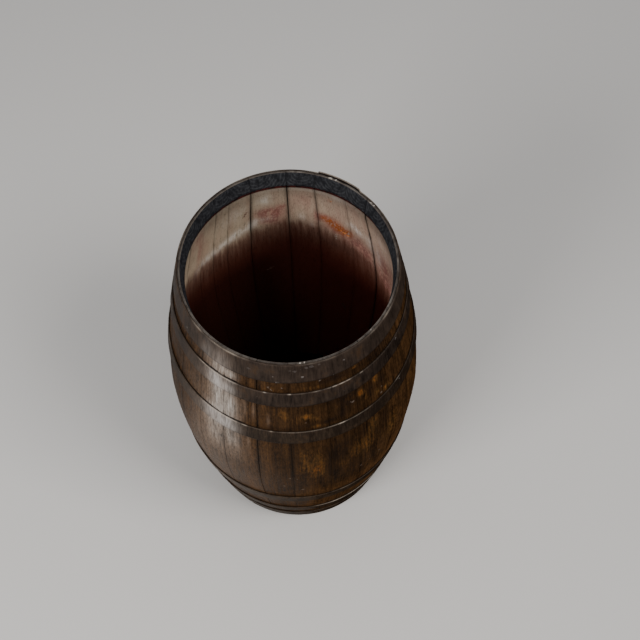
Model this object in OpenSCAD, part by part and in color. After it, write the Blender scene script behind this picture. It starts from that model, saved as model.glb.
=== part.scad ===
// Small open oak cask, stood on end as a floor planter or bin.
// The upper head is out, so its croze groove is empty. The lower head is the floor of the bin.
// Millimetres. The axis is Z, the origin is on the floor in the middle of the foot.

/* [Cask] */
// Height of the cask, stave end to stave end
cask_h = 580; // [500:5:700]
// Diameter over the wood at each end
end_d = 276; // [240:2:320]
// Diameter over the wood at the bilge, half way up
bilge_d = 354; // [330:2:400]
// How much straighter the staves run towards their ends than in a plain bend
end_straight = 1.0; // [0:0.1:2]

/* [Staves] */
// Thickness of a stave
stave_t = 12; // [11:0.5:18]
// Width of each stave over the bilge, chosen stave by stave and shared out over the girth
stave_widths = [55, 45, 47, 54, 50, 56, 49, 54, 45, 58, 49, 64, 43, 29, 30, 49, 50, 45, 52, 46, 43, 52, 47];
// Direction in degrees of the first joint, on the front of the cask
first_joint_dir = -90.8; // [-180:0.1:180]
// Open joint between two staves at the bilge, since the wood has dried
joint_gap = 0.2; // [0.05:0.05:0.5]

/* [Chime and croze] */
// Width of the flat stave end that is left outside the chime bevel
rim_land = 2.5; // [2:0.5:8]
// Height of the chime, from the stave end to the croze
chime_h = 27; // [22:1:45]
// Width of the croze groove along the stave
croze_w = 4.5; // [3.5:0.1:6]
// Depth of the croze groove into the stave
croze_d = 4; // [2.5:0.1:5]
// Height of the shallow howel cut inside the croze
howel_h = 14; // [6:1:24]
// Depth of the howel
howel_d = 1.2; // [0.4:0.1:2]

/* [Head] */
// Thickness of the head boards
head_t = 15; // [10:0.5:20]
// Width of each head board, shared out over the diameter of the head
board_widths = [55, 49, 62, 50, 55];
// Open joint between two head boards
board_gap = 0.2; // [0.05:0.05:0.5]
// Play of the head in its croze
head_fit = 0.3; // [0.1:0.05:0.5]
// Width of the bevel that thins the head towards its edge
head_bevel = 16; // [8:1:26]
// Diameter of the dowels between the head boards
dowel_d = 7; // [5:0.5:8]
// Length of a dowel
dowel_l = 36; // [20:1:40]
// Distance between the two dowels of a joint
dowel_pitch = 96; // [60:2:130]
// Play round a dowel in its hole
dowel_fit = 0.05; // [0.02:0.01:0.1]

/* [Hoops] */
// Thickness of the hoop iron
hoop_t = 2; // [1.2:0.1:3]
// Width of the two chime hoops
chime_hoop_w = 36; // [28:1:44]
// Width of the quarter and bilge hoops
hoop_w = 29; // [22:1:36]
// Distance of a chime hoop from the stave ends
end_gap = 1; // [0.5:0.5:4]
// Bare wood between a chime hoop and its quarter hoop
chime_gap = 23; // [14:1:34]
// Bare wood between a quarter hoop and its bilge hoop
quarter_gap = 61; // [40:1:80]
// Play between a hoop and the staves
hoop_fit = 0.15; // [0.05:0.05:0.4]
// Length over which the two ends of a hoop overlap
lap_l = 58; // [44:1:80]
// Direction in degrees of the laps, which are set in one line at the back
lap_dir = 62; // [0:1:360]
// Play between the two layers of a lap
lap_fit = 0.1; // [0.05:0.05:0.3]

/* [Rivets] */
// Diameter of a rivet shank
rivet_d = 5; // [4:0.5:7]
// Diameter of a rivet head
rivet_head_d = 10; // [8:0.5:13]
// Height of a rivet head
rivet_head_h = 2.4; // [1.5:0.1:4]
// Distance between the two rivets of a lap
rivet_pitch = 30; // [20:1:40]
// Play round a rivet in its hole
rivet_fit = 0.05; // [0.02:0.01:0.1]

/* [Hidden] */
// Straight steps that make up the bend of a stave
stave_steps = 16;
// Straight steps inside the stave, between the two howels
inner_steps = 12;
// Facets round the cask in the drawn preview
smooth = 180;
// Facets round a rivet or a dowel in the drawn preview
smooth_small = 48;

end_r = end_d / 2;
bilge_r = bilge_d / 2;
half_h = cask_h / 2;
stave_n = len(stave_widths);
board_n = len(board_widths);

// Share of the bend at a height, 0 at the bilge and 1 at either end
function swell(z) =
    let (u = abs(z - half_h) / half_h)
    (1 + end_straight) * u * u / (1 + end_straight * u);
function outer_r(z) = bilge_r - (bilge_r - end_r) * swell(z);
function inner_r(z) = outer_r(z) - stave_t;
function total(list, n) = n <= 0 ? 0 : list[n - 1] + total(list, n - 1);

// Heights of the foot's chime, croze and howel; the rim has the same ones upside down
croze_z = chime_h + croze_w / 2;
howel_z = chime_h + croze_w + howel_h;
croze_r = inner_r(croze_z) + croze_d;

// One end of the inside of a stave, from its end face up to the end of the howel
function end_outline() = [
    [end_r - rim_land, 0],
    [inner_r(chime_h), chime_h],
    [croze_r, chime_h],
    [croze_r, chime_h + croze_w],
    [inner_r(chime_h + croze_w) + howel_d, chime_h + croze_w],
    [inner_r(howel_z), howel_z],
];

// Section of a stave: up the outside, then down the inside
function stave_outline() = concat(
    [for (i = [0 : stave_steps]) let (z = cask_h * i / stave_steps) [outer_r(z), z]],
    [for (p = end_outline()) [p[0], cask_h - p[1]]],
    [for (i = [1 : inner_steps - 1])
        let (z = cask_h - howel_z - (cask_h - 2 * howel_z) * i / inner_steps)
        [inner_r(z), z]],
    [for (i = [len(end_outline()) - 1 : -1 : 0]) end_outline()[i]]
);

// Directions of the stave joints
girth = total(stave_widths, stave_n);
function joint_dir(i) = first_joint_dir + 360 * total(stave_widths, i) / girth;
gap_angle = 360 * joint_gap / (PI * bilge_d);

// Head: a disc held in the lower croze, thinned on both faces towards its edge
head_r = croze_r - head_fit;
head_edge_t = croze_w - head_fit;
head_edge_w = croze_d + head_fit;
head_z = croze_z - head_t / 2;
board_total = total(board_widths, board_n);
function board_x(i) = -head_r + 2 * head_r * total(board_widths, i) / board_total;

// A hoop: heights of its lower and upper edge, and the lift that clears the bulge of the wood between them
function hoop_lift(z0, z1) =
    max(0, outer_r((z0 + z1) / 2) - (outer_r(z0) + outer_r(z1)) / 2) + hoop_fit;
chime_top = cask_h - end_gap;
quarter_top = chime_top - chime_hoop_w - chime_gap;
bilge_top = quarter_top - hoop_w - quarter_gap;
hoop_names = ["upper_chime", "upper_quarter", "upper_bilge", "lower_bilge", "lower_quarter", "lower_chime"];
hoop_widths = [chime_hoop_w, hoop_w, hoop_w, hoop_w, hoop_w, chime_hoop_w];
hoop_tops = [
    chime_top,
    quarter_top,
    bilge_top,
    cask_h - bilge_top + hoop_w,
    cask_h - quarter_top + hoop_w,
    cask_h - chime_top + chime_hoop_w,
];
function hoop_low(k) = hoop_tops[k] - hoop_widths[k];
function hoop_edge_r(k, z) = outer_r(z) + hoop_lift(hoop_low(k), hoop_tops[k]);
function hoop_mid_z(k) = hoop_tops[k] - hoop_widths[k] / 2;
function hoop_mid_r(k) = (hoop_edge_r(k, hoop_low(k)) + hoop_edge_r(k, hoop_tops[k])) / 2;
// Lean of the hoop's face, positive where the cask narrows upwards
function hoop_lean(k) =
    atan2(hoop_edge_r(k, hoop_low(k)) - hoop_edge_r(k, hoop_tops[k]), hoop_widths[k]);
function lap_angle(k, l) = 360 * l / (2 * PI * hoop_mid_r(k));
// Length over which the outer end steps up onto the inner end
step_l = 3 * hoop_t;

function two_digits(n) = n < 10 ? str("0", n) : str(n);
function stave_name(i) = str("stave_", two_digits(i + 1));
function board_name(i) = str("head_board_", i + 1);

// One bent, bevelled oak stave
module stave(i) {
    color("#4a3324")
    rotate_extrude(
        start = joint_dir(i) + gap_angle / 2,
        angle = 360 * stave_widths[i] / girth - gap_angle,
        $fn = smooth
    )
    polygon(stave_outline());
}

// The whole head before it is cut into boards
module head_disc() {
    translate([0, 0, head_z])
    rotate_extrude($fn = smooth)
    polygon([
        [0, 0],
        [head_r - head_edge_w - head_bevel, 0],
        [head_r - head_edge_w, (head_t - head_edge_t) / 2],
        [head_r, (head_t - head_edge_t) / 2],
        [head_r, (head_t + head_edge_t) / 2],
        [head_r - head_edge_w, (head_t + head_edge_t) / 2],
        [head_r - head_edge_w - head_bevel, head_t],
        [0, head_t],
    ]);
}

// The dowels of one joint between two head boards, with a named amount added all round
module joint_dowels(i, play = 0) {
    for (side = [-1, 1])
        translate([board_x(i), side * dowel_pitch / 2, croze_z])
        rotate([0, 90, 0])
        cylinder(d = dowel_d + 2 * play, h = dowel_l + 2 * play, center = true, $fn = smooth_small);
}

// One board of the head, drilled for its dowels
module head_board(i) {
    low = board_x(i) + (i == 0 ? -head_fit : board_gap / 2);
    high = board_x(i + 1) - (i == board_n - 1 ? -head_fit : board_gap / 2);
    color("#5d4330")
    difference() {
        intersection() {
            head_disc();
            translate([low, -head_r - head_fit, head_z - head_fit])
            cube([high - low, 2 * (head_r + head_fit), head_t + 2 * head_fit]);
        }
        if (i > 0) joint_dowels(i, dowel_fit);
        if (i < board_n - 1) joint_dowels(i + 1, dowel_fit);
    }
}

// The dowels that join the head boards edge to edge
module head_dowels() {
    color("#8a6a48")
    for (i = [1 : board_n - 1]) joint_dowels(i);
}

// A stretch of hoop strip: from one direction to another, lifted off the wood, with its thickness
module strip(k, from, to, lift, thick) {
    low_z = hoop_low(k);
    top_z = hoop_tops[k];
    low_r = hoop_edge_r(k, low_z) + lift;
    top_r = hoop_edge_r(k, top_z) + lift;
    rotate_extrude(start = from, angle = to - from, $fn = smooth)
    polygon([[low_r, low_z], [low_r + thick, low_z], [top_r + thick, top_z], [top_r, top_z]]);
}

// Places a rivet's axis on a lap, square to the hoop's face, with its origin on the hoop's inner face
module on_lap(k, place) {
    rotate([0, 0, lap_dir + lap_angle(k, place)])
    translate([hoop_mid_r(k), 0, hoop_mid_z(k)])
    rotate([0, 90 - hoop_lean(k), 0])
    children();
}
rivet_places = [-rivet_pitch / 2, rivet_pitch / 2];
// Two layers of strip and the play between them
grip = 2 * hoop_t + lap_fit;

// A strip of iron bent round the cask, its outer end stepped up over its inner end and drilled for rivets
module hoop(k) {
    from = lap_dir - lap_angle(k, lap_l / 2);
    to = lap_dir + lap_angle(k, lap_l / 2);
    step_from = from - lap_angle(k, step_l);
    step_mid = from - lap_angle(k, step_l / 2);
    color("#2e2a29")
    difference() {
        union() {
            strip(k, from + lap_angle(k, lap_fit), step_mid + 360, 0, hoop_t);
            strip(k, step_from, from, 0, grip);
            strip(k, step_mid, to, hoop_t + lap_fit, hoop_t);
        }
        for (place = rivet_places)
            on_lap(k, place)
            cylinder(d = rivet_d + 2 * rivet_fit, h = 4 * grip, center = true, $fn = smooth_small);
    }
}

// The rivets of one lap: a shank through both layers and a domed head on the outer one
module rivets(k) {
    dome_r = (pow(rivet_head_d / 2, 2) + pow(rivet_head_h, 2)) / (2 * rivet_head_h);
    // The flat under a head clears the round of the hoop and the drilled edge
    seat = grip + pow(rivet_head_d / 2, 2) / (2 * hoop_mid_r(k)) + rivet_fit;
    color("#3a3432")
    for (place = rivet_places)
        on_lap(k, place) {
            cylinder(d = rivet_d, h = seat + rivet_head_h / 2, $fn = smooth_small);
            translate([0, 0, seat])
            intersection() {
                translate([0, 0, rivet_head_h - dome_r]) sphere(r = dome_r, $fn = 2 * smooth_small);
                cylinder(d = rivet_head_d, h = rivet_head_h, $fn = smooth_small);
            }
        }
}

for (i = [0 : stave_n - 1])
    stave(i);
for (i = [0 : board_n - 1])
    head_board(i);
head_dowels();
for (k = [0 : len(hoop_names) - 1])
    hoop(k);
for (k = [0 : len(hoop_names) - 1])
    rivets(k);
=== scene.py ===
import math

import bpy
import numpy as np
from mathutils import Matrix, Vector


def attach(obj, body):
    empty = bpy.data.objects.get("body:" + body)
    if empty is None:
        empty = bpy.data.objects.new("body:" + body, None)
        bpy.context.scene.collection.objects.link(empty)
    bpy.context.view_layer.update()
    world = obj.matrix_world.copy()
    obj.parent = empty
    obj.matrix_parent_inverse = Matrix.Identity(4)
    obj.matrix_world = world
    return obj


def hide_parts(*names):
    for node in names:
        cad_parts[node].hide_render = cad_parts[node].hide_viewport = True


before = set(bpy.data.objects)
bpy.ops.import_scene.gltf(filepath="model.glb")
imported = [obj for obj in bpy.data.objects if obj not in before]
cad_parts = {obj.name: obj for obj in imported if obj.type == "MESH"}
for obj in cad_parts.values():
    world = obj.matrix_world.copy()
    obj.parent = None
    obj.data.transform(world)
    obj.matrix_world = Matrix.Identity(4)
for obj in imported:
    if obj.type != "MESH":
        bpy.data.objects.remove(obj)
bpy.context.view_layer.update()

# Camera. It stands a little in front of the cask, about 1.9 m above the floor, and looks steeply
# down into its mouth, leaning very slightly to one side.
camera_place = Vector((0.0383, -0.7416, 1.8947))
look_down = math.radians(63.28)
lean = math.radians(-0.97)
lens_mm = 68.26
sensor_mm = 36.0


def in_scene(name, data):
    """A new object in the scene for a camera, a lamp or a mesh."""
    thing = bpy.data.objects.new(name, data)
    bpy.context.scene.collection.objects.link(thing)
    return thing


camera_data = bpy.data.cameras.new("camera")
camera_data.sensor_fit = "HORIZONTAL"
camera_data.sensor_width = sensor_mm
camera_data.lens = lens_mm
camera = in_scene("camera", camera_data)
camera.matrix_world = (
    Matrix.Translation(camera_place)
    @ Matrix.Rotation(math.pi / 2 - look_down, 4, "X")
    @ Matrix.Rotation(lean, 4, "Z")
)
bpy.context.scene.camera = camera

# Floor and light. A plain pale floor, a large soft lamp to the front left, a weaker one to the
# front right, and an even pale room round them.
floor_size = 40.0
floor_colour = (0.56, 0.545, 0.53, 1)
floor_roughness = 0.85
floor_shine = 0.1
room_colour = (0.95, 0.97, 1.0, 1)
room_light = 0.42
lamp_aim_height = 0.45

half_floor = floor_size / 2
floor_mesh = bpy.data.meshes.new("floor")
floor_mesh.from_pydata([(-1, -1, 0), (1, -1, 0), (1, 1, 0), (-1, 1, 0)], [], [(0, 1, 2, 3)])
floor_mesh.transform(Matrix.Scale(half_floor, 4))
floor = in_scene("floor", floor_mesh)
floor_finish = bpy.data.materials.new("pale_floor")
floor_finish.use_nodes = True
floor_shader = floor_finish.node_tree.nodes["Principled BSDF"]
floor_shader.inputs["Base Color"].default_value = floor_colour
floor_shader.inputs["Roughness"].default_value = floor_roughness
floor_shader.inputs["Specular IOR Level"].default_value = floor_shine
floor_mesh.materials.append(floor_finish)

room = bpy.data.worlds.new("pale_room")
room.use_nodes = True
room.node_tree.nodes["Background"].inputs["Color"].default_value = room_colour
room.node_tree.nodes["Background"].inputs["Strength"].default_value = room_light
bpy.context.scene.world = room


def soft_lamp(name, direction, height, distance, size, watts, colour):
    """A square soft lamp at a direction round the cask, aimed at the cask's mouth."""
    data = bpy.data.lights.new(name, "AREA")
    data.shape = "SQUARE"
    data.size = size
    data.energy = watts
    data.color = colour
    lamp = in_scene(name, data)
    turn = math.radians(direction)
    place = Vector((math.cos(turn) * distance, math.sin(turn) * distance, height))
    aim = Vector((0, 0, lamp_aim_height)) - place
    lamp.matrix_world = Matrix.Translation(place) @ aim.to_track_quat("-Z", "Y").to_matrix().to_4x4()


soft_lamp("lamp_left", -134, 1.7, 1.9, 1.0, 44, (1.0, 0.985, 0.96))
soft_lamp("lamp_right", -32, 2.4, 1.35, 0.9, 40, (1.0, 0.98, 0.95))

# Staves. Twenty-three bent oak staves of unequal width make the wall. Each is bevelled at its joints,
# chamfered inside at both ends, and cut with a croze groove for the head. The outside was stained
# dark and has worn to amber, with a painted sheen and painted light and shade over it; the inside is
# washed pale at the top and darkens further down, partly wine stain and partly painted shade.
mm = 0.001
cask_height = 580.0
end_radius = 138.0
bilge_radius = 177.0
stave_thickness = 12.0
stave_widths = (55, 45, 47, 54, 50, 56, 49, 54, 45, 58, 49, 64, 43, 29, 30, 49, 50, 45, 52, 46, 43, 52, 47)
first_joint = -90.8
# The staves press on each other, so their joints close here to a hair and let no light through
joint_gap = 0.03
rim_land = 2.5
chime_height = 27.0
croze_width = 4.5
croze_depth = 4.0
howel_height = 14.0
howel_depth = 1.2
# How far each joint's arrises are eased, in order of the joints, and how dark the joint shows
joint_ease = (
    0.4, 0.5, 0.45, 0.4, 0.5, 0.45, 0.6, 0.45, 0.9, 0.5, 0.6, 0.9, 0.8, 0.55, 0.7, 0.4, 0.6, 0.5, 0.45, 0.6,
    0.45, 0.7, 0.9,
)
joint_dark = (
    0.7, 0.4, 0.45, 0.35, 0.5, 0.4, 0.5, 0.35, 1, 0.3, 0.6, 0.95, 0.85, 0.36, 0.42, 0.12, 0.5, 0.5, 0.45,
    0.55, 0.28, 0.55, 0.9,
)
# Joints that dust fills outside above the bilge too, and staves whose joints show in the dark inside
dusty_joints = (0, 21)
clear_staves = (7, 8)
# Heights between which each hoop presses on the wood, from the rim down
hoop_heights = ((543, 579), (491, 520), (401, 430), (150, 179), (60, 89), (1, 37))
# Tone of each stave: 0 nearly black, 1 the lightest brown of the stain
stave_tone = (
    0.5, 0.42, 0.38, 0.33, 0.42, 0.5, 0.38, 0.46, 0.4, 0.48, 0.42, 0.36, 0.5, 0.44, 0.38, 0.5, 0.42, 0.48,
    0.4, 0.46, 0.5, 0.48, 0.46,
)
# How flat the faces were planed, 0 round and 1 flat, and how deep their worn arrises go for their width
outer_flatness = 0.3
inner_flatness = 0.5
arris_depth = 0.85
# How much of that the hoops press out, and between which heights from an end the inner face turns rough
hoop_press = 0.9
smooth_end = (46, 56)
# How much shorter a stave may be at its foot and at the rim
short_ends = (0.35, 0.7)
# Waves in the outer face: depth, width and height in mm, shift from stave to stave, seed
outer_waves = ((0.3, 26, 95, 7.3, 1), (0.16, 3.2, 60, 3.1, 2))
# The rim is more chipped outside at the lap of its hoop: direction, spread, how much more
chipped_rim = (62, 18, 0.9)
# Every list of places below gives direction, height, spread round, spread up and strength.
# Places where the stain has worn to amber
amber_places = (
    (-80.5, 322, 6.5, 56, 0.64), (-79, 298, 4, 24, 0.25), (-62, 328, 7, 26, 0.25), (-58, 352, 8, 40, 0.3),
    (-71, 372, 4, 20, 0.3), (-83, 461, 4, 8, 0.7), (-93, 470, 3, 16, 0.3), (-79, 452, 3, 10, 0.45),
    (-69, 466, 3, 10, 0.3), (-79, 436, 3, 4, 0.8), (-56, 474, 2.6, 13, 1), (-53, 452, 2.2, 12, 0.5),
    (-46.7, 480, 1.6, 11, 1), (-46.5, 447, 1.8, 9, 0.75), (-41, 438, 2.6, 8, 0.7), (-34, 400, 8, 50, 0.25),
    (-50, 380, 4, 30, 0.6), (-90, 455, 5, 12, 0.3), (-41, 330, 5, 40, 0.3), (-55, 320, 6, 30, 0.4),
    (-38, 300, 10, 50, 0.25), (-97, 474, 5, 14, 0.4), (-98, 526, 5, 5, 0.35), (-82, 526, 6, 4, 0.5),
    (-76, 526, 4, 5, 0.35), (-57.5, 536, 1.6, 4, 1), (-66, 300, 5, 24, 0.3), (-92, 300, 5, 30, 0.25),
    (-104, 350, 10, 60, 0.1), (-86, 360, 1.6, 30, 0.5), (-15, 360, 13, 80, 0.4), (20, 300, 12, 80, 0.5),
    (58, 370, 14, 60, 0.45), (95, 280, 10, 80, 0.5), (140, 350, 12, 70, 0.4), (172, 300, 12, 60, 0.4),
    (-160, 360, 10, 70, 0.35), (75, 130, 12, 40, 0.3), (160, 120, 12, 40, 0.3),
)
# Places of painted sheen, over wood and iron alike, most of all on the side that faced the light
painted_sheen_places = (
    (-125, 552, 7, 26, 0.36), (-126, 500, 7.5, 30, 0.75), (-125, 446, 7.5, 36, 0.75),
    (-126.5, 388, 9, 34, 0.75), (-127, 332, 13, 34, 0.54), (-134, 262, 20, 52, 0.3),
    (-138, 160, 24, 70, 0.22), (-141, 40, 24, 60, 0.12), (-138, 420, 9, 120, 0.18), (70, 440, 9, 60, 0.25),
    (10, 250, 9, 70, 0.2), (150, 470, 8, 40, 0.25),
)
# The heart of that side, a painted highlight nearly white
glare_places = (
    (-127.5, 508, 4, 16, 1), (-120, 503, 3, 9, 0.6), (-126, 476, 3.6, 22, 1), (-119.5, 462, 2.6, 26, 0.9),
    (-125, 446, 3.6, 22, 0.8), (-121, 415, 5, 18, 0.9), (-130, 428, 4, 14, 0.6), (-128, 400, 5, 20, 0.5),
    (-119, 375, 3, 24, 0.5), (-128, 360, 4, 26, 0.4), (-126, 534, 4.5, 10, 0.6),
    (-119.5, 529, 2.5, 10, 0.7), (-134, 552, 3, 20, 0.25), (-125, 556, 4, 16, 0.2),
)
# More painted sheen on the wood alone
wood_sheen_places = (
    (-126, 531, 4, 11, 0.35), (-120, 530, 3, 11, 0.4), (-116, 470, 2, 24, 0.2), (-115, 440, 2, 20, 0.2),
    (-117, 370, 4, 30, 0.2), (-112.4, 470, 0.6, 22, 0.8), (-110.8, 384, 0.6, 22, 0.5),
    (-115.6, 372, 0.6, 26, 0.5), (-101, 452, 0.5, 12, 0.3), (-107.6, 468, 0.5, 16, 0.3),
)
# Places where the stain is nearly black
soot_places = (
    (-62, 474, 5, 18, 0.9), (-67, 484, 6, 8, 0.6), (-73, 442, 5, 5, 1), (-84, 440, 6, 4, 0.5),
    (-93, 434, 10, 4, 0.7), (-66, 450, 3, 14, 0.7), (-86, 292, 6, 5, 0.7), (-71, 340, 4, 30, 0.8),
    (-66, 362, 5, 24, 0.7), (-60, 300, 5, 30, 0.3), (-100, 300, 6, 40, 0.2), (-48, 350, 5, 30, 0.4),
    (-68, 534, 9, 9, 0.9), (-46, 530, 12, 8, 0.6), (-43.5, 466, 2, 12, 0.8), (-50, 462, 1.6, 14, 0.8),
    (-43, 390, 1.6, 30, 0.5), (-74, 300, 1.4, 24, 0.7), (-56, 378, 3, 16, 0.5), (30, 380, 8, 30, 0.5),
    (120, 200, 10, 40, 0.5), (-170, 220, 10, 50, 0.5), (0, 160, 12, 30, 0.4), (-119, 385, 0.9, 14, 0.9),
    (-124.5, 366, 1.2, 8, 0.9), (-115, 372, 1, 10, 0.9), (-128, 384, 1, 9, 0.9), (-112, 350, 0.9, 12, 0.7),
    (-129, 468, 0.6, 4, 0.8), (-132.5, 520, 4, 4, 0.6), (-124, 350, 0.8, 14, 0.8),
)
# Inside: washed white places, most of them a painted highlight in an arc above the dark, wine stains and
# orange stains
washed_and_sheen_places = (
    (113, 440, 5, 10, 1), (119, 431, 6, 10, 1), (127, 421, 6, 10, 0.9), (135, 416, 5, 12, 0.7),
    (142, 420, 5, 12, 0.7), (149, 412, 4, 14, 0.7), (108, 452, 3.5, 9, 0.8), (101.5, 449, 3, 9, 0.7),
    (79, 420, 1.2, 10, 0.7), (54, 467, 3, 10, 1), (50, 458, 3, 10, 0.9), (43, 445, 2.5, 22, 0.8),
    (37, 424, 3, 26, 0.8), (84, 448, 1.6, 12, 0.5), (104, 515, 4, 14, 0.7), (62, 540, 8, 8, 0.5),
    (30, 480, 6, 40, 0.4), (122, 500, 10, 25, 0.3), (-20, 470, 12, 30, 0.5), (-70, 460, 14, 25, 0.5),
    (-130, 455, 14, 30, 0.6),
)
wine_places = (
    (103.5, 473, 6, 16, 1), (99, 462, 6, 16, 1), (71.5, 457, 5, 12, 1), (94.5, 484, 2.4, 8, 1),
    (102, 440, 5, 10, 0.8), (97, 430, 4, 12, 0.5), (76, 452, 1.2, 22, 0.9), (66, 425, 9, 14, 0.7),
    (50, 412, 5, 22, 0.8), (47, 385, 7, 34, 0.9), (32, 410, 6, 50, 0.9), (34, 350, 6, 34, 0.9),
    (147, 480, 3, 50, 0.6), (58, 400, 6, 20, 0.6), (152, 530, 4, 20, 0.5), (84, 505, 6, 30, 0.3),
    (-30, 420, 14, 40, 0.7), (-100, 440, 14, 30, 0.7), (180, 430, 10, 30, 0.6),
)
orange_places = (
    (72, 455, 2.2, 10, 0.6), (69, 450, 2.8, 13, 0.9), (66, 443, 2.8, 15, 1), (62.8, 435, 2.8, 16, 1),
    (59.6, 429, 2.6, 14, 1), (57, 436, 1.8, 10, 0.6), (66.4, 525, 1.2, 5, 0.4), (-40, 470, 3, 10, 0.6),
)
# Rim: where its edges have rubbed palest, as direction, spread and strength
bright_rim = (
    (-140, 12, 0.8), (-158, 10, 0.5), (-118, 10, 0.4), (-84, 6, 0.5), (-70, 7, 0.4), (-45, 8, 0.9),
    (-28, 8, 0.75), (0, 8, 0.75), (36, 6, 0.7), (50, 6, 0.7), (64, 3, 0.8), (84, 7, 0.5), (120, 7, 0.7),
)
bright_rim_places = tuple((at, cask_height, wide, 40, strength) for at, wide, strength in bright_rim)
# Height at which the inside is three quarters of the way to dark, by direction
dark_directions = (
    -180, -150, -110, -70, -30, 10, 30, 38, 46, 54, 62, 70, 78, 86, 94, 102, 110, 118, 126, 142, 150, 158,
    180,
)
dark_heights = (
    406, 385, 380, 380, 360, 310, 306, 330, 350, 358, 377, 383, 391, 402, 402, 394, 389, 382, 379, 382, 394,
    412, 406,
)
# Painted light and shade that scale the wood's colour: outside by direction, inside by direction and by
# height
outside_light_directions = (
    -180, -150, -134, -126, -116, -110, -104, -98, -80, -66, -56, -50, -44, -38, -30, -20, 10, 45, 180,
)
outside_light_by_direction = (
    1.15, 1.25, 1.3, 1.15, 1.2, 1.6, 1.65, 1.1, 0.95, 1, 1.05, 1.05, 1.2, 1.45, 1.7, 1.5, 1.1, 1, 1.15,
)
wall_directions = (-180, -150, -40, 20, 46, 66, 78, 92, 106, 124, 150, 180)
wall_light_by_direction = (1.1, 1, 1, 0.72, 0.88, 0.98, 1.05, 1, 1.12, 1.25, 1.2, 1.1)
wall_heights = (425, 462, 492, 512, 528, 545)
wall_light_by_height = (1.3, 1.25, 1.05, 0.88, 0.62, 0.46)
# Painted light: how much paler the inside stays low down, on the side that catches the light and on the
# other side
deep_heights = (260, 300, 345, 375, 405, 430)
deep_lit = (5, 5, 3.4, 2, 1.5, 1.1)
deep_far = (0.7, 0.75, 1.5, 1.5, 1.25, 1)
# Middle of the growth rings in the chime, in mm to the side of the stave's own middle
stave_pith = {7: -4, 8: 5, 9: 6.8, 10: 0, 11: -14, 12: 9}
# Small marks on the wood: direction, height, size in mm
pale_specks = (
    (-95.5, 242, 2.4), (-86.9, 222, 2.6), (-57.9, 255, 2.4), (-92.3, 281, 2.4), (-89, 277, 1.6),
    (-60.2, 463, 2.6), (-61.6, 465, 1.6), (-43.8, 450, 2.2), (-44.4, 436, 2.4), (-83.5, 447, 1.4),
    (-47, 262, 2), (-53, 258, 1.6), (-75.6, 538, 1.8), (-100.5, 528, 1.8), (-99, 524, 1.4), (-94, 530, 1.6),
)
rim_chips = (
    (66.3, 579.6, 3), (63.2, 580, 1.6), (39.3, 580, 2), (37, 580, 1.6), (-84.6, 580, 2), (-82.2, 580, 1.6),
    (-43.3, 580, 1.8),
)
rim_holes = ((-52.8, 580, 1.5), (-40.8, 580, 1.6), (-47.5, 580, 0.9))
red_mark = ((116.3, 478, 2), (115.7, 482, 2.4), (115, 487, 2.4), (114.4, 491, 1.8))
white_marks = (
    (66.2, 409, 2), (66, 403, 2.8), (65.9, 396, 2.4), (54, 469, 2.6), (49.5, 466, 2.2), (152, 557, 1.8),
)
bright_orange = ((60.6, 428, 3.6), (58.9, 423, 3.2), (62.6, 432, 2.8), (66.2, 524, 1.6))
deep_specks = ((102.4, 283, 3.6), (104, 280, 2.6), (100.9, 285, 2.6), (61.7, 198, 4), (60.6, 193, 3.2))
# Those that lie over everything else inside, with how strong and what colour they are
wall_marks = (
    (red_mark, 0.85, (0.1, 0.022, 0.018)),
    (white_marks, 0.8, (0.62, 0.56, 0.5)),
    (deep_specks, 0.5, (0.16, 0.12, 0.1)),
)

girth = sum(stave_widths)
stave_count = len(stave_widths)


def swell(z):
    """Share of the bend at a height, 0 at the bilge and 1 at either end."""
    u = np.abs(z - cask_height / 2) / (cask_height / 2)
    return 2 * u * u / (1 + u)


def outer_radius(z):
    return bilge_radius - (bilge_radius - end_radius) * swell(z)


def inner_radius(z):
    return outer_radius(z) - stave_thickness


def joint_direction(i):
    return first_joint + 360 * sum(stave_widths[:i]) / girth


def half_turn(direction):
    """A direction counted from -180 to 180."""
    return (direction + 180) % 360 - 180


def soft_noise(x, y, z, seed):
    """Smooth noise from -1 to 1, with one cell to the unit."""
    points = np.stack(np.broadcast_arrays(x, y, z), axis=-1).astype(float)
    cell = np.floor(points).astype(np.int64)
    part = points - cell
    part = part * part * (3 - 2 * part)
    total = np.zeros(points.shape[:-1])
    for corner in np.ndindex(2, 2, 2):
        at = cell + np.array(corner)
        mixed = (at[..., 0] * 73856093) ^ (at[..., 1] * 19349663) ^ (at[..., 2] * 83492791) ^ (seed * 40503)
        mixed = ((mixed & 0xFFFFFFFF) * 1274126177) & 0xFFFFFFFF
        mixed = ((mixed ^ (mixed >> 15)) * 668265263) & 0xFFFFFFFF
        value = (mixed ^ (mixed >> 13)) / 0xFFFFFFFF
        share = np.prod(np.where(np.array(corner) == 1, part, 1 - part), axis=-1)
        total = total + share * value
    return 2 * total - 1


def smooth_step(value, low, high):
    t = np.clip((value - low) / (high - low), 0, 1)
    return t * t * (3 - 2 * t)


def spots(places, direction, height):
    """How strongly a list of soft places reaches each point of the wall."""
    total = np.zeros(np.shape(direction))
    for at, up, round_spread, up_spread, strength in places:
        away = half_turn(direction - at)
        total += strength * np.exp(-((away / round_spread) ** 2) - ((height - up) / up_spread) ** 2)
    return np.clip(total, 0, 1)


def sheen(direction, height):
    """How satiny the stain still is. The side away from the light and the foot have gone matt."""
    ways = (-180, -160, -118, -105, -100, -80, -60, -40, 5, 45, 180)
    high = (0.6, 1, 1, 1, 0.83, 0.15, 0.04, 0, 0, 0.6, 0.6)
    low = (0.5, 1, 1, 0.567, 0.4, 0, 0, 0, 0, 0.3, 0.5)
    above = np.interp(half_turn(direction), ways, high)
    below = np.interp(half_turn(direction), ways, low)
    return below + (above - below) * smooth_step(height, 190, 300)


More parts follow.
